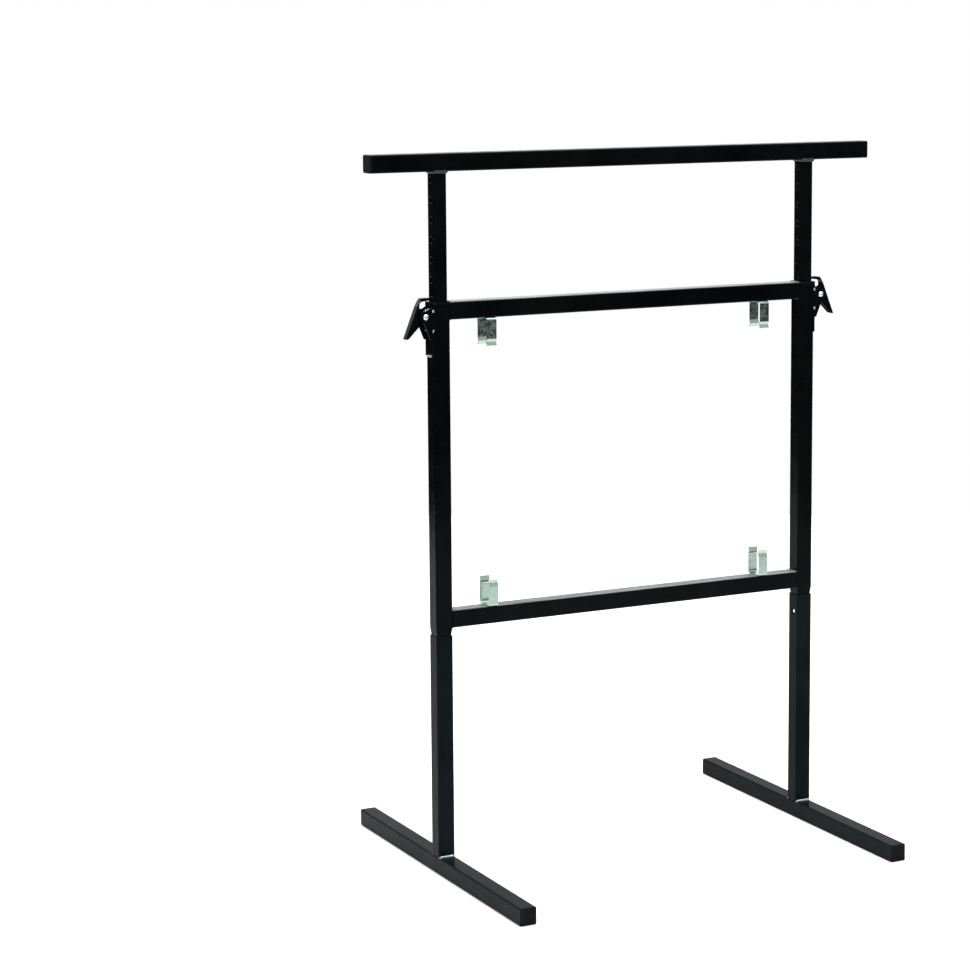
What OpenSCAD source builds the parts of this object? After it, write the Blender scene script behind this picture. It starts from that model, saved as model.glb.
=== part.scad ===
// Folding sawhorse: height-adjustable tube trestle with pull-off T-legs.
// X runs along the beam, -Y is the front, Z is up. The origin is on the floor under the middle.

/* [Tubes] */
// Side of the square tube used for the frame, beam, legs and feet
tube = 25; // [20:0.5:32]
// Wall of every square tube
wall = 1.5; // [1:0.1:2]
// Gap between mast and upright, each side
mast_gap = 1; // [0.5:0.1:2]
// Outside corner radius of the tubes
corner_r = 2.5; // [1.6:0.1:3]

/* [Frame] */
// Width over the two uprights
frame_w = 620; // [450:5:900]
// Height of the upright tops above the floor
frame_top = 815; // [650:5:1000]
// Height of the lower crossbar's top face above the floor
low_bar_top = 380; // [300:5:500]
// Distance of the joint between upright and leg below the lower crossbar
seam_drop = 11; // [5:1:60]
// Length of the tapered neck above the joint
neck_len = 13; // [8:1:20]
// Height of the drawn-in rim at the top of the uprights
rim_h = 3; // [1:0.5:5]
// How far the rim is drawn in, each side
rim_in = 0.8; // [0.2:0.1:1.2]
// Length of the spigot inside the leg
spigot_len = 60; // [45:1:90]
// Gap between spigot and leg tube, each side
spigot_gap = 0.25; // [0.1:0.05:0.5]

/* [Beam and masts] */
// Length of the beam tube without its caps
beam_len = 800; // [600:5:1300]
// Distance of the top height hole below the beam
hole_drop = 12; // [8:0.5:20]
// Length of the masts below their lowest hole
mast_tail = 73; // [40:1:90]
// Spacing of the height holes
hole_pitch = 27.5; // [22:0.5:32]
// Number of height holes in each mast
hole_count = 15; // [8:1:16]
// Holes in use above the latch at this height
holes_above = 6; // [1:1:6]
// Diameter of the height holes
hole_d = 9; // [8:0.5:11]

/* [Feet] */
// Length of the foot tubes without their caps
foot_len = 530; // [400:5:700]
// Thickness of the outer flange of every end cap
cap_flange = 2.5; // [1.5:0.5:5]
// Depth that the cap plugs reach into a tube
cap_plug = 16; // [8:1:25]
// Gap between a cap plug and the tube's bore, each side
cap_gap = 0.1; // [0.05:0.05:0.3]

/* [Latch] */
// Thickness of the bracket sheet and of the lever sheet
latch_sheet = 1.5; // [1:0.1:2]
// Distance of the pivot pin outside the upright
pin_out = 11.8; // [10.5:0.1:15]
// Distance of the pivot pin below the upright's top
pin_drop = 19.3; // [18:0.1:24]
// Diameter of the pivot pin
pin_d = 5; // [4:0.5:6]
// Diameter of the pin's heads
pin_head_d = 7.5; // [7:0.5:10]
// Thickness of the pin's heads
pin_head_t = 1.8; // [1:0.1:3]
// Running clearance of the lever on the pin, radial
pin_play = 0.06; // [0.02:0.01:0.1]
// Width of the lever
lever_w = 10; // [9:0.5:13]
// Height of the lever's arm above the upright's top
arm_rise = 6; // [5:0.5:8]
// Depth of the lever's sides along its arm
arm_depth = 3; // [2:0.5:4]
// Reach of the lever's tail outside the pin
tail_out = 27; // [24:1:34]
// Drop of the lever's tail below the pin
tail_drop = 30.5; // [26:0.5:40]
// Length of the bracket's strap below the upright's top
strap_len = 75; // [62:1:90]
// Width of the lever's nose
nose_w = 5; // [3:0.5:6]
// Height of the lever's nose
nose_h = 3.5; // [2.5:0.1:4]
// Gap between the waiting nose and the mast
nose_gap = 0.4; // [0.2:0.1:0.6]
// Wire diameter of the latch spring
spring_wire = 1.2; // [0.8:0.1:1.5]
// Turns of the latch spring
spring_turns = 3; // [2:1:3]

/* [Snap button] */
// Diameter of the button
button_d = 8; // [6:0.5:10]
// Clearance of the button in the holes of spigot and leg, radial
button_play = 0.3; // [0.1:0.05:0.5]
// Distance of the button below the joint
button_drop = 26.5; // [20:0.5:40]
// Distance the released button stands out of the leg
button_out = 2.6; // [1.5:0.1:4]
// Gap between the pressed button and the leg's bore
button_gap = 0.3; // [0.2:0.05:0.6]
// Thickness of the button's leaf spring
leaf_t = 0.8; // [0.5:0.1:1.2]
// Width of the button's leaf spring
leaf_w = 12; // [8:1:15]

/* [Storage clips] */
// Distance of each clip's middle from the outside of the frame
clip_inset = 87.5; // [70:0.5:150]
// Width of the clip strip
clip_w = 15; // [10:1:20]
// Thickness of the clip strip
clip_t = 1.2; // [0.8:0.1:2]
// Room inside the clip beside the tube it holds, each side
clip_room = 1.5; // [0.5:0.1:3]
// How far the pinch of the clip's mouth overlaps the held tube, each side
clip_pinch = 0.4; // [0.2:0.1:1]
// Height of the mouth's pinch above the held tube
clip_slack = 6; // [1:0.5:8]
// Height of the clip's lips above the pinch
clip_lip = 5.2; // [4:0.2:8]
// Bend radius of the clip strip
clip_bend = 3; // [2:0.5:4]
// Diameter of the rivet shanks
rivet_d = 4; // [3:0.2:5]
// Diameter of the rivet heads
rivet_head_d = 8; // [6:0.5:9]
// Height of the rivet heads
rivet_head_t = 1.5; // [1:0.1:2]

/* [Hidden] */
$fn = 48;
eps = 0.01;

coat = [0.06, 0.06, 0.07];
zinc = [0.72, 0.74, 0.74];
plastic = [0.1, 0.1, 0.1];

bore = tube - 2 * wall;
mast = bore - 2 * mast_gap;
seam_z = low_bar_top - tube - seam_drop;
face_x = frame_w / 2;
upright_x = face_x - tube / 2;
inner_x = face_x - tube;
spigot = bore - 2 * spigot_gap;
bore_r = corner_r - wall / 2;
// The neck runs through the bore's edge a touch above the joint, so that the leg seats on it
seat_gap = 0.1;
neck_z = seam_z - neck_len * (2 * spigot_gap - seat_gap) / (tube - spigot);
// Middle of the locked nose, and of the hole it enters, above the uprights
nose_mid = 3;
hole_z0 = frame_top + nose_mid + holes_above * hole_pitch;
beam_under = hole_z0 + hole_drop;
beam_top = beam_under + tube;
mast_len = hole_drop + (hole_count - 1) * hole_pitch + mast_tail;
mast_face = wall + mast_gap;
button_z = seam_z - button_drop;
clip_x = face_x - clip_inset;
clip_half = tube / 2 + clip_room + clip_t / 2;
// Space between the held tube and the rivet head
clip_head_room = 0.4;
clip_rest = clip_t + rivet_head_t + clip_head_room;
clip_neck = clip_rest + tube + clip_slack;
clip_top = clip_neck + clip_lip;
// Height of the slope between the clip's side and its pinch, and how far its lips stand outside the sides
clip_slope = 4;
clip_flare = 0.3;
ear_y = tube / 2 - latch_sheet;
pin_z = frame_top - pin_drop;

// Points of an arc round c, from angle a0 to a1
function arc(c, r, a0, a1, n = 8) =
    [for (i = [0:n]) c + r * [cos(a0 + (a1 - a0) * i / n), sin(a0 + (a1 - a0) * i / n)]];
function unit(v) = v / norm(v);
// Points that round the corner b of the path a-b-c with radius r
function rounded(a, b, c, r, n = 6) =
    let (u = unit(a - b), v = unit(c - b), half = acos(u * v) / 2, d = r / tan(half),
        m = b + unit(u + v) * r / sin(half), p = b + u * d, q = b + v * d,
        s = atan2(p[1] - m[1], p[0] - m[0]), e = atan2(q[1] - m[1], q[0] - m[0]),
        turn = e - s > 180 ? e - s - 360 : e - s < -180 ? e - s + 360 : e - s)
    [for (i = [0:n]) m + r * [cos(s + turn * i / n), sin(s + turn * i / n)]];
// Path with its inner corners rounded
function soft_path(p, r) = concat([p[0]],
    [for (i = [1:len(p) - 2]) each rounded(p[i - 1], p[i], p[i + 1], r[i])], [p[len(p) - 1]]);
// Normal of a path at its point i, scaled so that sheets keep their thickness in bends
function path_normal(p, i) =
    let (n = len(p), a = unit(p[min(i + 1, n - 1)] - p[min(i, n - 2)]), b = unit(p[max(i, 1)] - p[max(i - 1, 0)]),
        na = [-a[1], a[0]], nb = [-b[1], b[0]])
    (na + nb) / (1 + na * nb);
// Outline of a sheet of thickness t whose middle follows path p
function sheet(p, t) = concat([for (i = [0:len(p) - 1]) p[i] + path_normal(p, i) * t / 2],
    [for (i = [len(p) - 1:-1:0]) p[i] - path_normal(p, i) * t / 2]);

// Square with rounded corners, side s and radius r
module soft_square(s, r) {
    square([s - 2 * r, s], center = true);
    square([s, s - 2 * r], center = true);
    for (x = [-1, 1], y = [-1, 1]) translate([x, y] * (s / 2 - r)) circle(r);
}

// Square tube of outside s, standing on z = 0
module square_tube(s, length, r = corner_r) {
    linear_extrude(length) difference() {
        soft_square(s, r);
        soft_square(s - 2 * wall, r - wall / 2);
    }
}

// Children mirrored to the right (side = 1) or left as drawn on the left (side = -1)
module on_side(side) {
    mirror([side > 0 ? 1 : 0, 0, 0]) children();
}

// Turns a drawing of (distance outside the frame's left face, height) into the side view, width along Y
module side_plate(width, y0) {
    translate([-face_x, y0 + width, 0]) rotate([90, 0, 0]) mirror([1, 0, 0]) linear_extrude(width) children();
}

// Moulded cap for a tube end: plug below z = 0 and flange above
module end_cap() {
    plug = bore - 2 * cap_gap;
    plug_wall = 1.5;
    rim = cap_flange * 0.6;
    top_in = cap_flange * 0.4;
    difference() {
        union() {
            linear_extrude(rim) soft_square(tube, corner_r);
            hull() {
                translate([0, 0, rim]) linear_extrude(eps) soft_square(tube, corner_r, $fn = 32);
                translate([0, 0, cap_flange - eps]) linear_extrude(eps)
                    soft_square(tube - 2 * top_in, corner_r, $fn = 32);
            }
            translate([0, 0, -cap_plug]) linear_extrude(cap_plug + eps) soft_square(plug, bore_r);
        }
        translate([0, 0, -cap_plug - eps]) linear_extrude(cap_plug)
            soft_square(plug - 2 * plug_wall, 1);
    }
}

module top_beam() {
    color(coat) translate([-beam_len / 2, 0, beam_top - tube / 2]) rotate([90, 0, 90]) square_tube(tube, beam_len);
}

module beam_cap(side) {
    color(plastic) translate([side * beam_len / 2, 0, beam_top - tube / 2]) rotate([0, side * 90, 0]) end_cap();
}

module height_mast(side) {
    mast_r = corner_r * 0.8;
    color(coat) on_side(side) difference() {
        translate([-upright_x, 0, beam_under - mast_len]) square_tube(mast, mast_len, mast_r);
        for (i = [0:hole_count - 1]) translate([-upright_x - mast, 0, hole_z0 - i * hole_pitch])
            rotate([0, 90, 0]) cylinder(d = hole_d, h = mast);
    }
}

// Solid outline of an upright: a full-size shank up to top_z, a tapered neck and a spigot below it
module swaged_shank(full, thin, full_r, thin_r, top_z, over) {
    translate([0, 0, neck_z + neck_len]) linear_extrude(top_z - neck_z - neck_len)
        soft_square(full, full_r);
    hull() {
        translate([0, 0, neck_z + neck_len]) linear_extrude(eps) soft_square(full, full_r, $fn = 32);
        translate([0, 0, neck_z - eps]) linear_extrude(eps) soft_square(thin, thin_r, $fn = 32);
    }
    translate([0, 0, seam_z - spigot_len - over]) linear_extrude(neck_z - seam_z + spigot_len + over)
        soft_square(thin, thin_r);
}

module upright(side) {
    color(coat) on_side(side) translate([-upright_x, 0, 0]) difference() {
        union() {
            swaged_shank(tube, spigot, corner_r, bore_r, frame_top - rim_h, 0);
            hull() {
                translate([0, 0, frame_top - rim_h]) linear_extrude(eps) soft_square(tube, corner_r, $fn = 32);
                translate([0, 0, frame_top - eps]) linear_extrude(eps)
                    soft_square(tube - 2 * rim_in, corner_r, $fn = 32);
            }
        }
        swaged_shank(bore, spigot - 2 * wall, bore_r, bore_r * 0.6, frame_top + 1, 1);
        translate([0, 0, button_z]) rotate([0, 90, 0]) cylinder(d = button_d + 2 * button_play, h = tube);
    }
}

module crossbar(top_z, clip_face_z) {
    color(coat) difference() {
        translate([-inner_x, 0, top_z - tube / 2]) rotate([90, 0, 90]) square_tube(tube, 2 * inner_x);
        for (x = [-1, 1]) translate([x * clip_x, 0, clip_face_z - 2 * wall])
            cylinder(d = rivet_d, h = 4 * wall);
    }
}

// Corners of a bracket ear above and below the pin, as (share of pin_out, height from the pin)
ear_above = [[0, 12.3], [0.19, 12.3], [0.45, 10.1], [0.72, 9.1]];
ear_below = [[1, -15], [0.37, -33.2], [0, -34.2]];
ear_r = 8;

// Outline of a bracket ear, as (distance outside the frame, height)
function ear_corners(list) = [for (c = list) [c[0] * pin_out, pin_z + c[1]]];
function ear_outline() = concat(ear_corners(ear_above), arc([pin_out, pin_z], ear_r, 100, -35, 12),
    ear_corners(ear_below));

module latch_bracket(side) {
    color(coat) on_side(side) difference() {
        union() {
            side_plate(tube, -tube / 2) translate([0, frame_top - strap_len]) square([latch_sheet, strap_len]);
            for (y = [-tube / 2, ear_y]) side_plate(latch_sheet, y) polygon(ear_outline());
        }
        translate([-face_x - pin_out, -tube, pin_z]) rotate([-90, 0, 0]) cylinder(d = pin_d, h = 2 * tube);
    }
}

// Pin with two domed heads, each with a small dimple
module latch_pin(side) {
    dimple = pin_head_d * 0.35;
    flat = pin_head_d * 0.7;
    edge_t = pin_head_t * 0.4;
    color(zinc) on_side(side) translate([-face_x - pin_out, 0, pin_z]) rotate([90, 0, 0]) {
        cylinder(d = pin_d, h = tube, center = true);
        for (s = [0, 1]) mirror([0, 0, s]) translate([0, 0, tube / 2]) difference() {
            union() {
                cylinder(d = pin_head_d, h = edge_t);
                translate([0, 0, edge_t - eps]) cylinder(d1 = pin_head_d, d2 = flat, h = pin_head_t - edge_t);
            }
            translate([0, 0, edge_t]) cylinder(d = dimple, h = pin_head_t);
        }
    }
}

// Corners of the lever, measured from the pin: its back from the arm to the tail,
// then its inner edge from the tail to the pin and from the pin to the arm
arm_end = 0.8 - pin_out;
arm_top = pin_drop + arm_rise;
arm_low = arm_top - arm_depth;
back_low = [tail_out, -tail_drop];
back_corner = [9.5, 14.5];
lever_back = soft_path([[arm_end, arm_top], [3.5, arm_top], back_corner, back_low], [0, 6, 12, 0]);
tail_tip = 4;
lug_r = 6.6;
inner_low = [[tail_out - tail_tip, -tail_drop], [5.6, -13.1]];
inner_high = [[3.5, 10.3], [6.1, 11.8], [5.7, arm_low - 4], [3, arm_low - 1.7], [arm_end, arm_low]];
lever_front = concat(inner_low, arc([0, 0], lug_r, 250, 100, 10), inner_high);

module lever_side_view(points) {
    translate([pin_out, pin_z]) polygon(points);
}

module latch_lever(side) {
    inside = lever_w / 2 - latch_sheet;
    nose_back = mast_face + 6;
    back_inside = [for (i = [len(lever_back) - 1:-1:0]) lever_back[i] - path_normal(lever_back, i) * latch_sheet];
    color(coat) on_side(side) difference() {
        union() {
            for (y = [-lever_w / 2, inside]) side_plate(latch_sheet, y)
                lever_side_view(concat(lever_back, lever_front));
            side_plate(lever_w, -lever_w / 2)
                lever_side_view(concat(lever_back, back_inside));
            side_plate(nose_w, -nose_w / 2)
                translate([nose_gap - mast_face, frame_top + arm_rise - nose_h]) square([nose_back, nose_h]);
        }
        translate([-face_x - pin_out, -tube, pin_z]) rotate([-90, 0, 0])
            cylinder(d = pin_d + 2 * pin_play, h = 2 * tube);
    }
}

// Path of the latch spring round the pin: a leg to the strap, the coil and a leg to the lever's back
spring_gap = 0.3;
coil_r = pin_d / 2 + 1 + spring_wire / 2 + spring_gap;
coil_from = 60;
coil_to = 75;
coil_angle = 360 * spring_turns + coil_from - coil_to;
coil_steps = 16 * spring_turns;
coil_long = spring_turns * spring_wire * 1.35;
back_reach = cross(unit(back_low - back_corner), back_corner) - latch_sheet;
strap_leg = (pin_out - latch_sheet - spring_wire / 2 - spring_gap + coil_r * cos(coil_from)) / sin(coil_from);
lever_leg = sqrt(pow(back_reach - spring_wire / 2 - spring_gap, 2) - pow(coil_r, 2));
function coil_point(t) = let (a = coil_from - coil_angle * t)
    [coil_r * cos(a), (t - 0.5) * coil_long, coil_r * sin(a)];
spring_path = concat([coil_point(0) + strap_leg * [-sin(coil_from), 0, cos(coil_from)]],
    [for (i = [0:coil_steps]) coil_point(i / coil_steps)],
    [coil_point(1) + lever_leg * [sin(coil_to), 0, -cos(coil_to)]]);

// Round wire of diameter d along a path that never runs along Y
module wire(path, d, sides = 8) {
    n = len(path);
    rings = [for (i = [0:n - 1]) let (t = unit(path[min(i + 1, n - 1)] - path[max(i - 1, 0)]),
        u = unit(cross(t, [0, 1, 0])), v = cross(t, u))
        for (k = [0:sides - 1]) path[i] + d / 2 * (cos(360 * k / sides) * u + sin(360 * k / sides) * v)];
    skin = [for (i = [0:n - 2], k = [0:sides - 1]) let (j = (k + 1) % sides)
        [i * sides + k, i * sides + j, (i + 1) * sides + j, (i + 1) * sides + k]];
    polyhedron(rings, concat(skin, [[for (k = [sides - 1:-1:0]) k], [for (k = [0:sides - 1]) (n - 1) * sides + k]]));
}

module latch_spring(side) {
    color(zinc) on_side(side) translate([-face_x - pin_out, 0, pin_z])
        mirror([1, 0, 0]) wire(spring_path, spring_wire);
}

module leg_tube(side) {
    color(coat) on_side(side) translate([-upright_x, 0, 0]) difference() {
        translate([0, 0, tube]) square_tube(tube, seam_z - tube);
        translate([0, 0, button_z]) rotate([0, 90, 0]) cylinder(d = button_d + 2 * button_play, h = tube);
    }
}

module foot_bar(side) {
    color(coat) translate([side * upright_x, foot_len / 2, tube / 2]) rotate([90, 0, 0]) square_tube(tube, foot_len);
}

// end = -1 for the front cap, 1 for the rear cap
module foot_cap(side, end) {
    color(plastic) translate([side * upright_x, end * foot_len / 2, tube / 2]) rotate([-end * 90, 0, 0]) end_cap();
}

clip_path = let (pinch = tube / 2 - clip_pinch + clip_t / 2, lip = clip_half + clip_flare,
        side_top = clip_neck - clip_slope)
    soft_path([[lip, clip_top], [pinch, clip_neck], [clip_half, side_top], [clip_half, clip_t / 2],
        [-clip_half, clip_t / 2], [-clip_half, side_top], [-pinch, clip_neck], [-lip, clip_top]],
        [0, 1.5, 4, clip_bend, clip_bend, 4, 1.5, 0]);

// up = 1 opens upwards, up = -1 hangs from the upper bar
module storage_clip(side, up, base_z) {
    color(zinc) translate([side * clip_x, 0, base_z]) mirror([0, 0, up < 0 ? 1 : 0]) difference() {
        translate([-clip_w / 2, 0, 0]) rotate([90, 0, 90]) linear_extrude(clip_w) polygon(sheet(clip_path, clip_t));
        translate([0, 0, -clip_t]) cylinder(d = rivet_d, h = 3 * clip_t);
    }
}

// Blind rivet through clip and tube wall, head at clip_t above z = 0
module rivet() {
    tail = 2.5;
    bulge = rivet_d * 0.75;
    translate([0, 0, clip_t]) rotate_extrude() polygon(concat([[0, 0], [rivet_head_d / 2, 0]],
        [for (a = [15:15:90]) [rivet_head_d / 2 * cos(a), rivet_head_t * sin(a)]]));
    translate([0, 0, -wall]) cylinder(d = rivet_d, h = wall + clip_t + eps);
    translate([0, 0, -wall - tail]) rotate_extrude() polygon([[0, 0], [rivet_d / 2, 0],
        [bulge, tail * 0.5], [bulge, tail * 0.8], [rivet_d * 0.55, tail], [0, tail]]);
}

module clip_rivets() {
    color(zinc) for (x = [-1, 1]) {
        translate([x * clip_x, 0, low_bar_top]) rivet();
        translate([x * clip_x, 0, frame_top - tube]) mirror([0, 0, 1]) rivet();
    }
}

// Snap button held pressed in: its tip lies just inside the leg tube's bore
button_tip = bore / 2 - button_gap;
button_travel = wall + button_gap + button_out;
button_back = 1.5;
collar_w = 1.2;
collar_t = 1;
button_round = 1.6;
// Gap that keeps the pressed parts from touching their neighbours
rest_gap = 0.05;

module snap_button(side) {
    r = button_d / 2;
    long = button_tip - button_back;
    collar = bore / 2 - spigot_gap - wall - button_travel - rest_gap - button_back;
    color(zinc) on_side(side) translate([-upright_x + button_back, 0, button_z]) rotate([0, 90, 0])
        rotate_extrude() polygon(concat([[0, 0], [r * 0.8, 0], [r * 0.8, collar - collar_t],
            [r + collar_w, collar - collar_t], [r + collar_w, collar], [r, collar]],
            arc([r - button_round, long - button_round], button_round, 0, 90, 6), [[0, long]]));
}

// Leaf spring bent into a V behind the button, pressed against the far wall of the spigot
module button_spring(side) {
    lie = leaf_t / 2 + rest_gap - bore / 2 + spigot_gap + wall;
    push = button_back - 0.2 - leaf_t / 2;
    bend_z = button_z - 27;
    back_top = button_z + 12;
    front_top = button_z + 5;
    path = soft_path([[lie, back_top], [lie, bend_z], [lie + 3.4, bend_z - 2.5], [push, button_z - 6],
        [push, front_top]], [0, 2.2, 1.8, 5, 0]);
    color(zinc) on_side(side) translate([-upright_x, leaf_w / 2, 0]) rotate([90, 0, 0])
        linear_extrude(leaf_w) polygon(sheet(path, leaf_t));
}

top_beam();
beam_cap(-1);  // beam_cap_left
beam_cap(1);  // beam_cap_right
height_mast(-1);  // mast_left
height_mast(1);  // mast_right
upright(-1);  // upright_left
upright(1);  // upright_right
crossbar(frame_top, frame_top - tube);  // upper_crossbar
crossbar(low_bar_top, low_bar_top);  // lower_crossbar
latch_bracket(-1);  // latch_bracket_left
latch_bracket(1);  // latch_bracket_right
latch_pin(-1);  // latch_pin_left
latch_pin(1);  // latch_pin_right
latch_lever(-1);  // latch_lever_left
latch_lever(1);  // latch_lever_right
latch_spring(-1);  // latch_spring_left
latch_spring(1);  // latch_spring_right
leg_tube(-1);  // leg_tube_left
leg_tube(1);  // leg_tube_right
foot_bar(-1);  // foot_bar_left
foot_bar(1);  // foot_bar_right
foot_cap(-1, -1);  // foot_cap_left_front
foot_cap(-1, 1);  // foot_cap_left_rear
foot_cap(1, -1);  // foot_cap_right_front
foot_cap(1, 1);  // foot_cap_right_rear
storage_clip(-1, -1, frame_top - tube);  // storage_clip_upper_left
storage_clip(1, -1, frame_top - tube);  // storage_clip_upper_right
storage_clip(-1, 1, low_bar_top);  // storage_clip_lower_left
storage_clip(1, 1, low_bar_top);  // storage_clip_lower_right
clip_rivets();
snap_button(-1);  // snap_button_left
snap_button(1);  // snap_button_right
button_spring(-1);  // button_spring_left
button_spring(1);  // button_spring_right
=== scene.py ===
import math

import bpy
from mathutils import Matrix, Vector, noise


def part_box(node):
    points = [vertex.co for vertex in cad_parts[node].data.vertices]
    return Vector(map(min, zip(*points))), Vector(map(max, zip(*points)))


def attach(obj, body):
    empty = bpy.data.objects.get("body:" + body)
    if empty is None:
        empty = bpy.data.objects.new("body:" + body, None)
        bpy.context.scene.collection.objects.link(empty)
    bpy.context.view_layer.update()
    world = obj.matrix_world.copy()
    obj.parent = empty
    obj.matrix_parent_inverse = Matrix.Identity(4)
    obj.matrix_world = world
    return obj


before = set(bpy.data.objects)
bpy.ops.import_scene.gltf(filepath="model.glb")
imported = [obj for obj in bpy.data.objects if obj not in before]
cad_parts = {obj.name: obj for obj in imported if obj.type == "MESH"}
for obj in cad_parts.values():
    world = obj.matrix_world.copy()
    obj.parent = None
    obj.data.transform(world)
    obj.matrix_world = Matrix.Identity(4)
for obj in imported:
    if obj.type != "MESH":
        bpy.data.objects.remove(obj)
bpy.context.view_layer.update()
scene = bpy.context.scene
MM = 0.001

# ---------------------------------------------------------------- camera
CAMERA_AZIMUTH = -27.94
CAMERA_ELEVATION = 7.79
CAMERA_ROLL = -0.16
CAMERA_DISTANCE = 3.9694
CAMERA_AIM = Vector((-0.0678, 0.0, 0.6764))
FOCAL_WIDTHS = 2.8666
SENSOR = 36.0
SHIFT_X, SHIFT_Y = -0.1031, -0.0985


def make_camera():
    """The camera at the photograph's viewing angle, upright apart from a very small roll."""
    a, e, r = (math.radians(v) for v in (CAMERA_AZIMUTH, CAMERA_ELEVATION, CAMERA_ROLL))
    back = Vector((math.sin(a) * math.cos(e), -math.cos(a) * math.cos(e), math.sin(e)))
    right = (-back).cross(Vector((0, 0, 1))).normalized()
    up = back.cross(right)
    side = right * math.cos(r) + up * math.sin(r)
    top = up * math.cos(r) - right * math.sin(r)
    data = bpy.data.cameras.new("camera")
    data.sensor_fit = "HORIZONTAL"
    data.sensor_width = SENSOR
    data.lens = FOCAL_WIDTHS * SENSOR
    data.shift_x, data.shift_y = SHIFT_X, SHIFT_Y
    camera = bpy.data.objects.new("camera", data)
    scene.collection.objects.link(camera)
    place = CAMERA_AIM + back * CAMERA_DISTANCE
    turn = Matrix((side, top, back)).transposed().to_4x4()
    camera.matrix_world = Matrix.Translation(place) @ turn
    scene.camera = camera


# ---------------------------------------------------------------- materials
class Shader:
    """A node material on one Principled shader, with its textures in the object's own metres."""

    def __init__(self, name):
        self.mat = bpy.data.materials.new(name)
        self.mat.use_nodes = True
        self.tree = self.mat.node_tree
        self.bsdf = self.tree.nodes["Principled BSDF"]
        self.where = self.add("ShaderNodeTexCoord").outputs["Object"]

    def add(self, kind, **values):
        node = self.tree.nodes.new(kind)
        for key, value in values.items():
            setattr(node, key, value)
        return node

    def feed(self, socket, value):
        if isinstance(value, bpy.types.NodeSocket):
            self.tree.links.new(value, socket)
        else:
            socket.default_value = value

    def constant(self, **values):
        for key, value in values.items():
            self.bsdf.inputs[key.replace("_", " ")].default_value = value

    def mapped(self, stretch=(1, 1, 1), shift=(0, 0, 0)):
        node = self.add("ShaderNodeMapping")
        self.feed(node.inputs["Vector"], self.where)
        node.inputs["Scale"].default_value = stretch
        node.inputs["Location"].default_value = shift
        return node.outputs["Vector"]

    def noise(self, scale, detail=3.0, rough=0.5, stretch=(1, 1, 1), shift=(0, 0, 0)):
        node = self.add("ShaderNodeTexNoise")
        self.feed(node.inputs["Vector"], self.mapped(stretch, shift))
        node.inputs["Scale"].default_value = scale
        node.inputs["Detail"].default_value = detail
        node.inputs["Roughness"].default_value = rough
        return node.outputs["Fac"]

    def cells(self, scale, feature="F1", out="Distance", jitter=1.0, stretch=(1, 1, 1)):
        node = self.add("ShaderNodeTexVoronoi", feature=feature)
        self.feed(node.inputs["Vector"], self.mapped(stretch))
        node.inputs["Scale"].default_value = scale
        node.inputs["Randomness"].default_value = jitter
        return node.outputs[out]

    def span(self, value, low, high, to_low=0.0, to_high=1.0):
        node = self.add("ShaderNodeMapRange", interpolation_type="SMOOTHSTEP")
        self.feed(node.inputs["Value"], value)
        for key, number in (("From Min", low), ("From Max", high),
                            ("To Min", to_low), ("To Max", to_high)):
            node.inputs[key].default_value = number
        return node.outputs["Result"]

    def math(self, operation, a, b=0.0, c=0.0):
        node = self.add("ShaderNodeMath", operation=operation)
        for socket, value in zip(node.inputs, (a, b, c)):
            self.feed(socket, value)
        return node.outputs["Value"]

    def blend(self, share, low, high):
        node = self.add("ShaderNodeMix", data_type="RGBA")
        self.feed(node.inputs["Factor"], share)
        self.feed(node.inputs[6], low)
        self.feed(node.inputs[7], high)
        return node.outputs[2]

    def bump(self, height, distance, strength=1.0, under=None):
        node = self.add("ShaderNodeBump")
        self.feed(node.inputs["Height"], height)
        node.inputs["Distance"].default_value = distance
        node.inputs["Strength"].default_value = strength
        if under is not None:
            self.feed(node.inputs["Normal"], under)
        return node.outputs["Normal"]

    def edges(self, radius, gain):
        """1 on edges sharper than radius, 0 on flat faces."""
        soft = self.add("ShaderNodeBevel", samples=4)
        soft.inputs["Radius"].default_value = radius
        flat = self.add("ShaderNodeNewGeometry").outputs["Normal"]
        dot = self.add("ShaderNodeVectorMath", operation="DOT_PRODUCT")
        self.feed(dot.inputs[0], soft.outputs["Normal"])
        self.feed(dot.inputs[1], flat)
        away = self.math("SUBTRACT", 1.0, dot.outputs["Value"])
        return self.span(away, 0.01, gain)

    def finish(self, color, rough, normal):
        self.feed(self.bsdf.inputs["Base Color"], color)
        self.feed(self.bsdf.inputs["Roughness"], rough)
        self.feed(self.bsdf.inputs["Normal"], normal)
        return self.mat


def rgb(*values):
    return (*values, 1.0)


COAT_IOR = 1.115
LEG_IOR = 1.085
COAT_TONES = ((0.0012, 0.0013, 0.0017), (0.0022, 0.0024, 0.0028))
LEG_TONES = ((0.0022, 0.0040, 0.0046), (0.0045, 0.0066, 0.0074))


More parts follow.
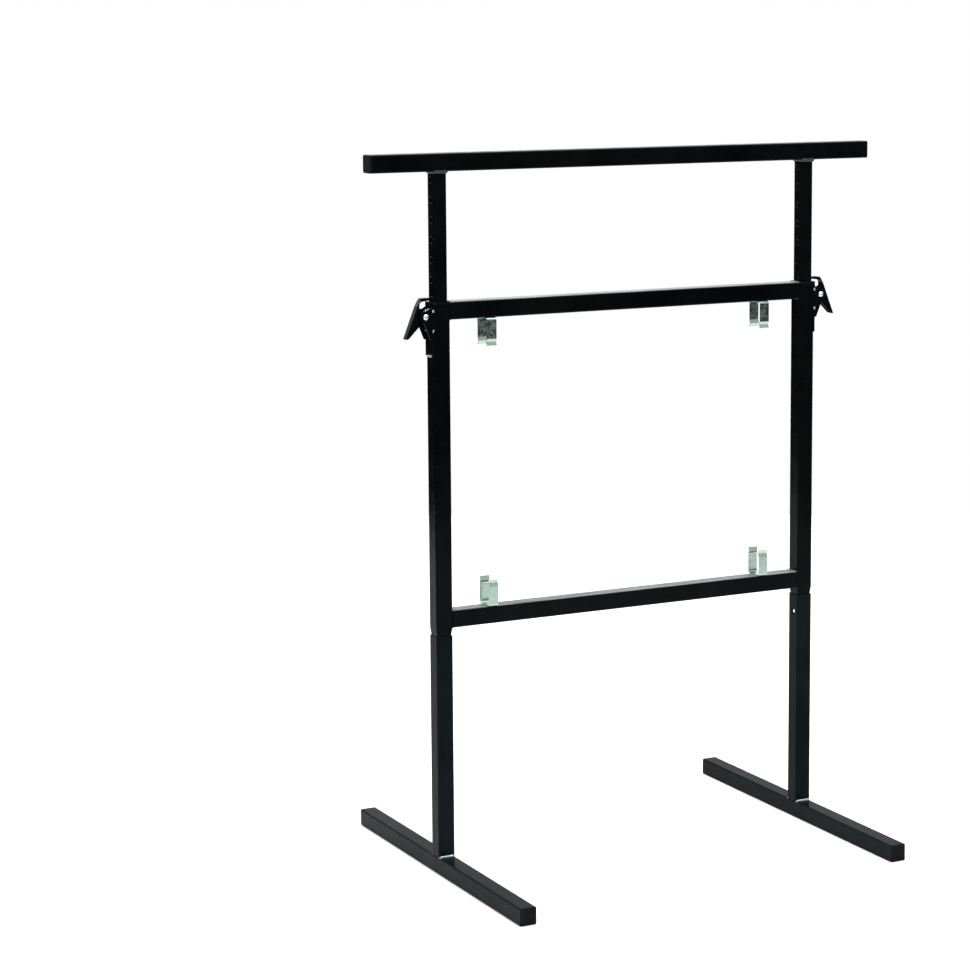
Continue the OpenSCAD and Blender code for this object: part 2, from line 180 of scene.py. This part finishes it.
def coat_material(name, rough_low, rough_high, peel, sheen_and_dust=0.0, ior=COAT_IOR,
                  tones=COAT_TONES):
    """Glossy black stove enamel over steel: faint orange peel, slow waves, dust and rubbed edges, and
    where asked a painted pale sheen mixed with dust on upward faces.
    """
    s = Shader(name)
    s.constant(IOR=ior, Specular_Tint=rgb(0.86, 0.95, 0.95))
    cloud = s.span(s.noise(9.0, 4.0, 0.6), 0.35, 0.68)
    dust = s.span(s.noise(620.0, 2.0, 0.5), 0.70, 0.80)
    rubbed = s.edges(1.1 * MM, 0.30)
    scuff = s.span(s.noise(55.0, 5.0, 0.7, stretch=(1, 1, 0.15)), 0.62, 0.72)
    base = s.blend(cloud, rgb(*tones[0]), rgb(*tones[1]))
    base = s.blend(s.math("MULTIPLY", dust, 0.10), base, rgb(0.12, 0.125, 0.13))
    base = s.blend(s.math("MULTIPLY", rubbed, 0.20), base, rgb(0.035, 0.037, 0.040))
    # painted sheen mixed with dust: faces that point upwards are blended towards pale grey in streaks,
    # as if lit from above
    if sheen_and_dust:
        up = s.add("ShaderNodeSeparateXYZ")
        s.feed(up.inputs[0], s.add("ShaderNodeNewGeometry").outputs["Normal"])
        streaks = s.span(s.noise(30.0, 4.0, 0.6, stretch=(0.3, 5, 5)), 0.3, 0.7, 0.35, 1.0)
        sheen_and_dust_mask = s.math("MULTIPLY", s.span(up.outputs["Z"], 0.6, 0.95), streaks)
        # the pale grey here is a painted highlight on the tops, partly dust
        base = s.blend(s.math("MULTIPLY", sheen_and_dust_mask, sheen_and_dust), base, rgb(0.62, 0.68, 0.66))
    rough = s.span(s.noise(38.0, 4.0, 0.6), 0.3, 0.7, rough_low, rough_high)
    rough = s.math("ADD", rough, s.math("MULTIPLY", scuff, 0.10))
    waves = s.bump(s.noise(24.0, 2.0, 0.5), 0.9 * MM, 0.25)
    skin = s.bump(s.noise(560.0, 2.0, 0.5), 0.05 * MM, peel, waves)
    return s.finish(base, rough, skin)


def weld_material(name, ior):
    """The same enamel over a weld bead: thicker, more uneven and glossier on its crests."""
    s = Shader(name)
    s.constant(IOR=ior, Specular_Tint=rgb(0.9, 0.96, 0.95))
    pits = s.noise(900.0, 3.0, 0.6)
    base = s.blend(s.span(pits, 0.35, 0.75), rgb(0.0015, 0.0016, 0.0018), rgb(0.006, 0.0063, 0.0066))
    rough = s.span(s.noise(260.0, 3.0, 0.6), 0.3, 0.7, 0.05, 0.16)
    return s.finish(base, rough, s.bump(pits, 0.12 * MM, 0.35))


def zinc_material(name, tint, rough_low, rough_high, grain_along=(1, 1, 1)):
    """Zinc-plated steel: pale cool metal with patches, rolling marks and fine scratches."""
    s = Shader(name)
    s.constant(Metallic=1.0)
    patch = s.span(s.noise(160.0, 3.0, 0.6), 0.3, 0.7)
    crystal = s.cells(420.0, out="Color")
    grey = s.add("ShaderNodeRGBToBW")
    s.feed(grey.inputs["Color"], crystal)
    share = s.math("ADD", s.math("MULTIPLY", patch, 0.6), s.math("MULTIPLY", grey.outputs["Val"], 0.4))
    dark = rgb(*(0.90 * v for v in tint))
    base = s.blend(share, dark, rgb(*tint))
    lines = s.noise(1500.0, 2.0, 0.5, stretch=grain_along)
    rough = s.span(share, 0.2, 0.8, rough_low, rough_high)
    rough = s.math("ADD", rough, s.math("MULTIPLY", s.span(lines, 0.55, 0.75), 0.12))
    waves = s.bump(s.noise(130.0, 2.0, 0.5), 0.12 * MM, 0.4)
    return s.finish(base, rough, s.bump(lines, 0.02 * MM, 0.5, waves))


def plastic_material():
    """Moulded black plastic: fine spark-eroded grain, paler where the edges are rubbed."""
    s = Shader("moulded_plastic")
    s.constant(IOR=1.13)
    grain = s.noise(1400.0, 3.0, 0.6)
    patch = s.span(s.noise(60.0, 4.0, 0.6), 0.35, 0.7)
    base = s.blend(patch, rgb(0.002, 0.0022, 0.0024), rgb(0.005, 0.0054, 0.0058))
    base = s.blend(s.math("MULTIPLY", s.edges(0.9 * MM, 0.35), 0.35), base, rgb(0.06, 0.065, 0.068))
    rough = s.span(grain, 0.3, 0.7, 0.38, 0.52)
    return s.finish(base, rough, s.bump(grain, 0.05 * MM, 0.5))


def floor_material():
    """Plain pale studio floor with a barely visible mottling."""
    s = Shader("studio_floor")
    patch = s.noise(3.0, 4.0, 0.6)
    base = s.blend(s.span(patch, 0.3, 0.7), rgb(0.86, 0.865, 0.865), rgb(0.885, 0.89, 0.89))
    return s.finish(base, s.span(patch, 0.3, 0.7, 0.62, 0.7), s.bump(s.noise(90.0), 0.1 * MM, 0.2))


# ---------------------------------------------------------------- CAD nodes
def tidy_nodes(name, crease=None):
    """Node tree that joins the imported faces and shades them smooth, apart from edges over crease."""
    tree = bpy.data.node_groups.new(name, "GeometryNodeTree")
    tree.interface.new_socket("Geometry", in_out="INPUT", socket_type="NodeSocketGeometry")
    tree.interface.new_socket("Geometry", in_out="OUTPUT", socket_type="NodeSocketGeometry")
    start = tree.nodes.new("NodeGroupInput")
    end = tree.nodes.new("NodeGroupOutput")
    join = tree.nodes.new("GeometryNodeMergeByDistance")
    join.inputs["Distance"].default_value = 0.004 * MM
    drop = tree.nodes.new("GeometryNodeRemoveAttribute")
    drop.inputs["Name"].default_value = "custom_normal"
    smooth = tree.nodes.new("GeometryNodeSetShadeSmooth")
    chain = [join, drop, smooth]
    if crease is not None:
        angle = tree.nodes.new("GeometryNodeInputMeshEdgeAngle")
        over = tree.nodes.new("FunctionNodeCompare")
        over.inputs[1].default_value = math.radians(crease)
        tree.links.new(angle.outputs["Unsigned Angle"], over.inputs[0])
        sharp = tree.nodes.new("GeometryNodeSetShadeSmooth")
        sharp.domain = "EDGE"
        sharp.inputs["Shade Smooth"].default_value = False
        tree.links.new(over.outputs["Result"], sharp.inputs["Selection"])
        chain.append(sharp)
    out = start.outputs[0]
    for node in chain:
        tree.links.new(out, node.inputs["Geometry"])
        out = node.outputs[0]
    tree.links.new(out, end.inputs["Geometry"])
    return tree


def soften(node, tree, width=0.0):
    """Gives a CAD node small rounded edges by modifiers; its own mesh stays as it is."""
    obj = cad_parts[node]
    join = obj.modifiers.new("join_faces", "NODES")
    join.node_group = tree
    if not width:
        weights = obj.modifiers.new("even_shading", "WEIGHTED_NORMAL")
        weights.keep_sharp = True
        return
    bevel = obj.modifiers.new("round_edges", "BEVEL")
    bevel.width = width
    bevel.segments = 2
    bevel.limit_method = "ANGLE"
    bevel.angle_limit = math.radians(32)
    bevel.use_clamp_overlap = False
    weights = obj.modifiers.new("even_shading", "WEIGHTED_NORMAL")
    weights.weight = 80


def paint(node, mat):
    """Puts a material on every slot of a CAD node."""
    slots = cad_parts[node].material_slots
    for one in slots:
        one.link = "OBJECT"
        one.material = mat


# ---------------------------------------------------------------- weld beads
RIPPLE = 1.5 * MM
RINGS_PER_RIPPLE = 5
SIDES = 14
RIPPLE_SWELL, GRAIN_SWELL = 0.16, 0.14
GRAIN_SCALE, WANDER_SCALE = 900.0, 260.0
WANDER = 0.35 * MM


def add_piece(name, body, verts, faces, mat):
    """A smooth enamelled piece that rides on one of the moving bodies."""
    mesh = bpy.data.meshes.new(name)
    mesh.from_pydata(verts, [], faces)
    mesh.polygons.foreach_set("use_smooth", [True] * len(mesh.polygons))
    mesh.materials.append(mat)
    obj = bpy.data.objects.new(name, mesh)
    scene.collection.objects.link(obj)
    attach(obj, body)


def bead(name, body, path, radius, mat, closed=False, seed=0.0):
    """A weld bead: a rod of overlapping ripples along path. radius(i, n) is its radius at a point."""
    count = len(path)
    verts, faces = [], []
    for i, p in enumerate(path):
        after = path[(i + 1) % count] if closed else path[min(i + 1, count - 1)]
        before = path[(i - 1) % count] if closed else path[max(i - 1, 0)]
        along = (after - before).normalized()
        guide = Vector((0, 0, 1)) if abs(along.z) < 0.9 else Vector((1, 0, 0))
        u = (guide - along * guide.dot(along)).normalized()
        v = along.cross(u)
        phase = (i % RINGS_PER_RIPPLE) / RINGS_PER_RIPPLE
        swell = 1.0 + RIPPLE_SWELL * (phase - 0.5)
        swell *= 1.0 + GRAIN_SWELL * noise.noise(p * GRAIN_SCALE + Vector((seed, 0, 0)))
        size = radius(i, count) * swell
        wander = noise.noise(p * WANDER_SCALE + Vector((0, seed, 7.0))) * WANDER
        for k in range(SIDES):
            t = 2 * math.pi * k / SIDES
            verts.append(p + (u * math.cos(t) + v * math.sin(t)) * (size + wander))
    last = count if closed else count - 1
    for i in range(last):
        j = (i + 1) % count
        for k in range(SIDES):
            m = (k + 1) % SIDES
            faces.append((i * SIDES + k, i * SIDES + m, j * SIDES + m, j * SIDES + k))
    if not closed:
        faces.append(tuple(range(SIDES - 1, -1, -1)))
        faces.append(tuple((count - 1) * SIDES + k for k in range(SIDES)))
    add_piece(name, body, verts, faces, mat)


def ring_path(centre, u, v, half, corner):
    """Points round a rounded square of half side half, in the plane of u and v."""
    step = RIPPLE / RINGS_PER_RIPPLE
    flat = half - corner
    points, out = [], []
    n_side = max(2, round(2 * flat / step))
    n_turn = max(3, round(corner * math.pi / 2 / step))
    for q in range(4):
        a = q * math.pi / 2
        ex = Vector((math.cos(a), math.sin(a)))
        ey = Vector((-math.sin(a), math.cos(a)))
        for i in range(n_side):
            points.append(ex * half + ey * (-flat + 2 * flat * i / n_side))
            out.append(ex)
        for i in range(n_turn):
            t = math.pi / 2 * i / n_turn
            way = ex * math.cos(t) + ey * math.sin(t)
            points.append((ex + ey) * flat + way * corner)
            out.append(way)
    return [centre + u * p.x + v * p.y for p in points], out


def line_path(start, end):
    """Points along a straight bead."""
    count = max(6, round((end - start).length / (RIPPLE / RINGS_PER_RIPPLE)))
    return [start.lerp(end, i / (count - 1)) for i in range(count)]


def rounded_ends(size):
    """Radius of a short bead: full in the middle and round at both ends."""
    def radius(i, n):
        t = abs(2 * i / (n - 1) - 1)
        return size * math.sqrt(max(0.04, 1 - t ** 4))
    return radius


def joint_ring(name, body, centre, u, v, half, corner, thin, thick, mat, seed):
    """A bead all round a tube's end: thick on the two sides across v, thin on the others."""
    path, out = ring_path(centre, u, v, half, corner)
    share = [w.y ** 2 for w in out]
    bead(name, body, path, lambda i, n: thin + (thick - thin) * share[i], mat, True, seed)


SEED_STEP = 3.1
TUBE_CORNER, MAST_CORNER = 2.5 * MM, 2.0 * MM
MAST_BEAD_THIN, MAST_BEAD_THICK, MAST_BEAD_DROP = 2.4 * MM, 3.1 * MM, 0.3 * MM
BAR_BEAD_THIN, BAR_BEAD_THICK = 0.3 * MM, 2.2 * MM
BAR_BEAD_OUT, BAR_BEAD_IN = 0.7 * MM, 1.0 * MM
FOOT_BEAD_THIN, FOOT_BEAD_THICK = 0.4 * MM, 2.6 * MM
FOOT_BEAD_RISE, FOOT_BEAD_IN = 0.2 * MM, 0.7 * MM
TACK_DROPS = ((9.5 * MM, "high"), (37.3 * MM, "low"))
TACK_RADIUS, TACK_LENGTH, TACK_LEAN, TACK_IN = 1.8 * MM, 4.5 * MM, 1.5 * MM, 0.6 * MM
STRAP_BEAD_RADIUS, STRAP_BEAD_OUT, STRAP_BEAD_DROP = 1.7 * MM, 1.2 * MM, 0.1 * MM
STRAP_BEAD_SHARE = 0.55


def make_welds(mat, tack):
    """Beads between masts and beam, crossbars and uprights, legs and feet, and the latch tacks."""
    x, y, z = Vector((1, 0, 0)), Vector((0, 1, 0)), Vector((0, 0, 1))
    tube_low, tube_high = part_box("top_beam")
    under = tube_low.z
    seed = 1.0
    for side in ("left", "right"):
        sign = -1 if side == "left" else 1
        low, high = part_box("mast_" + side)
        middle = (low + high) / 2
        half = (high.x - low.x) / 2
        joint_ring("weld_mast_" + side, "beam", Vector((middle.x, 0, under - MAST_BEAD_DROP)),
                   x, y, half, MAST_CORNER, MAST_BEAD_THIN, MAST_BEAD_THICK, mat, seed)
        low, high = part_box("upright_" + side)
        inner = high.x if sign < 0 else low.x
        outer = low.x if sign < 0 else high.x
        half = (high.x - low.x) / 2
        for bar in ("upper_crossbar", "lower_crossbar"):
            b_low, b_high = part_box(bar)
            seed += SEED_STEP
            centre = Vector((inner - sign * BAR_BEAD_OUT, 0, (b_low.z + b_high.z) / 2))
            joint_ring("weld_" + bar + "_" + side, "frame", centre, y, z, half - BAR_BEAD_IN,
                       TUBE_CORNER, BAR_BEAD_THIN, BAR_BEAD_THICK, mat, seed)
        foot_low, foot_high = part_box("foot_bar_" + side)
        leg_low, leg_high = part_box("leg_tube_" + side)
        seed += SEED_STEP
        centre = Vector(((leg_low.x + leg_high.x) / 2, 0, foot_high.z + FOOT_BEAD_RISE))
        joint_ring("weld_foot_" + side, "leg_" + side, centre, x, y, half - FOOT_BEAD_IN,
                   TUBE_CORNER, FOOT_BEAD_THIN, FOOT_BEAD_THICK, tack, seed)
        b_low, b_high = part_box("latch_bracket_" + side)
        face = outer + sign * STRAP_BEAD_OUT
        top = b_high.z
        for end, word in ((-1, "front"), (1, "rear")):
            for drop, height in TACK_DROPS:
                seed += SEED_STEP
                start = Vector((outer, end * (half - TACK_IN), top - drop))
                stop = start + Vector((sign * TACK_LEAN, 0, -TACK_LENGTH))
                bead(f"tack_{side}_{word}_{height}", "frame", line_path(start, stop),
                     rounded_ends(TACK_RADIUS), tack, False, seed)
        seed += SEED_STEP
        reach = STRAP_BEAD_SHARE * half
        strap_end = Vector((face, -reach, b_low.z - STRAP_BEAD_DROP))
        bead("tack_" + side + "_strap", "frame", line_path(strap_end, strap_end + y * 2 * reach),
             rounded_ends(STRAP_BEAD_RADIUS), tack, False, seed)


# ---------------------------------------------------------------- punched holes
HOLE_COUNT, HOLE_PITCH, HOLE_DROP = 15, 27.5 * MM, 12 * MM
HOLE_RADIUS = 4.5 * MM
LIP_RADIUS = 0.16 * MM
LIP_STEPS, LIP_SIDES = 36, 8


def hole_lips(side, mat):
    """The small raised lips that punching left round the height holes, on both faces of a mast."""
    low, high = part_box("mast_" + side)
    verts, faces = [], []
    for index in range(HOLE_COUNT):
        z = high.z - HOLE_DROP - index * HOLE_PITCH
        for face_x in (low.x, high.x):
            first = len(verts)
            for i in range(LIP_STEPS):
                a = 2 * math.pi * i / LIP_STEPS
                out = Vector((0, math.cos(a), math.sin(a)))
                size = LIP_RADIUS * (1.0 + 0.3 * noise.noise(out * 3.0 + Vector((z * 40.0, face_x, 0))))
                for k in range(LIP_SIDES):
                    t = 2 * math.pi * k / LIP_SIDES
                    spot = out * (HOLE_RADIUS + LIP_RADIUS + size * math.cos(t))
                    verts.append(Vector((face_x + size * math.sin(t), 0, z)) + spot)
            for i in range(LIP_STEPS):
                j = (i + 1) % LIP_STEPS
                for k in range(LIP_SIDES):
                    m = (k + 1) % LIP_SIDES
                    faces.append(tuple(first + q for q in (
                        i * LIP_SIDES + k, i * LIP_SIDES + m, j * LIP_SIDES + m, j * LIP_SIDES + k)))
    add_piece("hole_lips_" + side, "beam", verts, faces, mat)


# ---------------------------------------------------------------- stage and light
HORIZON_LOW, HORIZON_HIGH = -0.02, 0.03
ROOM_BELOW, ROOM_ABOVE = 0.02, 1.0
FLOOR_RADIUS, FLOOR_SIDES = 2.7, 96


def make_floor(mat):
    """A round of plain studio floor."""
    verts = [(0, 0, 0)]
    for k in range(FLOOR_SIDES):
        a = 2 * math.pi * k / FLOOR_SIDES
        verts.append((FLOOR_RADIUS * math.cos(a), FLOOR_RADIUS * math.sin(a), 0))
    faces = [(0, 1 + k, 1 + (k + 1) % FLOOR_SIDES) for k in range(FLOOR_SIDES)]
    mesh = bpy.data.meshes.new("floor")
    mesh.from_pydata(verts, [], faces)
    mesh.materials.append(mat)
    floor = bpy.data.objects.new("floor", mesh)
    scene.collection.objects.link(floor)


def softbox(name, place, aim, width, height, power, color=(1, 1, 1)):
    data = bpy.data.lights.new(name, "AREA")
    data.shape = "RECTANGLE"
    data.size, data.size_y = width, height
    data.energy = power
    data.color = color
    light = bpy.data.objects.new(name, data)
    scene.collection.objects.link(light)
    light.location = place
    light.rotation_euler = (Vector(aim) - Vector(place)).to_track_quat("-Z", "Y").to_euler()


def make_world():
    """A pale room all round. What mirrors in the object is pale above the floor's height and dark
    below it, as beyond the edge of a studio's lit floor."""
    world = bpy.data.worlds.new("room")
    world.use_nodes = True
    tree = world.node_tree
    coord = tree.nodes.new("ShaderNodeTexCoord")
    split = tree.nodes.new("ShaderNodeSeparateXYZ")
    ramp = tree.nodes.new("ShaderNodeMapRange")
    seen = tree.nodes.new("ShaderNodeLightPath")
    most = tree.nodes.new("ShaderNodeMath")
    most.operation = "MAXIMUM"
    for key, value in (("From Min", HORIZON_LOW), ("From Max", HORIZON_HIGH),
                       ("To Min", ROOM_BELOW), ("To Max", ROOM_ABOVE)):
        ramp.inputs[key].default_value = value
    tree.links.new(coord.outputs["Generated"], split.inputs[0])
    tree.links.new(split.outputs["Z"], ramp.inputs["Value"])
    tree.links.new(ramp.outputs["Result"], most.inputs[0])
    tree.links.new(seen.outputs["Is Camera Ray"], most.inputs[1])
    tree.links.new(most.outputs["Value"], tree.nodes["Background"].inputs["Strength"])
    tree.nodes["Background"].inputs["Color"].default_value = rgb(1.0, 1.0, 1.0)
    scene.world = world


def make_lights():
    centre = (0, 0, 0.55)
    softbox("key", (-1.6, -2.6, 2.7), centre, 0.5, 0.5, 40)
    softbox("top", (0.2, 0.3, 3.2), centre, 3.0, 3.0, 150)
    softbox("side", (2.8, -0.6, 1.9), centre, 0.8, 1.4, 16)
    softbox("back", (-1.4, 2.8, 2.0), centre, 1.2, 1.2, 14)


ROUND_COAT, ROUND_LATCH, ROUND_CLIP, ROUND_SMALL = (v * MM for v in (0.4, 0.3, 0.25, 0.15))
CREASE_ANGLE = 35

make_camera()
coat = coat_material("black_enamel", 0.13, 0.22, 0.18)
coat_leg = coat_material("black_enamel_leg", 0.16, 0.26, 0.18, 0.0, LEG_IOR, LEG_TONES)
coat_bar = coat_material("black_enamel_bar", 0.13, 0.22, 0.18, 0.28)
coat_latch = coat_material("black_enamel_latch", 0.18, 0.28, 0.25)
plastic = plastic_material()
zinc_clip = zinc_material("zinc_clip", (0.33, 0.42, 0.38), 0.16, 0.26, (1, 1, 0.08))
zinc_pin = zinc_material("zinc_pin", (0.86, 0.87, 0.87), 0.16, 0.26)
zinc_wire = zinc_material("zinc_wire", (0.70, 0.72, 0.72), 0.22, 0.36)
weld = weld_material("weld_enamel", 1.5)
tack = weld_material("tack_enamel", 3.5)
joined = tidy_nodes("join_faces")
creased = tidy_nodes("join_and_crease", CREASE_ANGLE)

# start of the nodes' names, material, node tree and width of the rounded edges; first match counts
LOOKS = (
    ("upright", coat, creased, 0.0),
    ("top_beam", coat, joined, ROUND_COAT),
    ("mast", coat, joined, ROUND_COAT),
    (("upper_crossbar", "lower_crossbar"), coat_bar, joined, ROUND_COAT),
    (("leg_tube", "foot_bar"), coat_leg, joined, ROUND_COAT),
    (("latch_bracket", "latch_lever"), coat_latch, joined, ROUND_LATCH),
    (("beam_cap", "foot_cap"), plastic, creased, 0.0),
    ("storage_clip", zinc_clip, joined, ROUND_CLIP),
    (("latch_pin", "clip_rivets", "snap_button"), zinc_pin, joined, ROUND_SMALL),
    (("latch_spring", "button_spring"), zinc_wire, None, 0.0))

for node_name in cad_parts:
    starts, mat, tree, width = next(look for look in LOOKS if node_name.startswith(look[0]))
    paint(node_name, mat)
    if tree is not None:
        soften(node_name, tree, width)
make_welds(weld, tack)
for side_name in ("left", "right"):
    hole_lips(side_name, weld)
make_floor(floor_material())
make_world()
make_lights()
scene.view_settings.view_transform = "Standard"
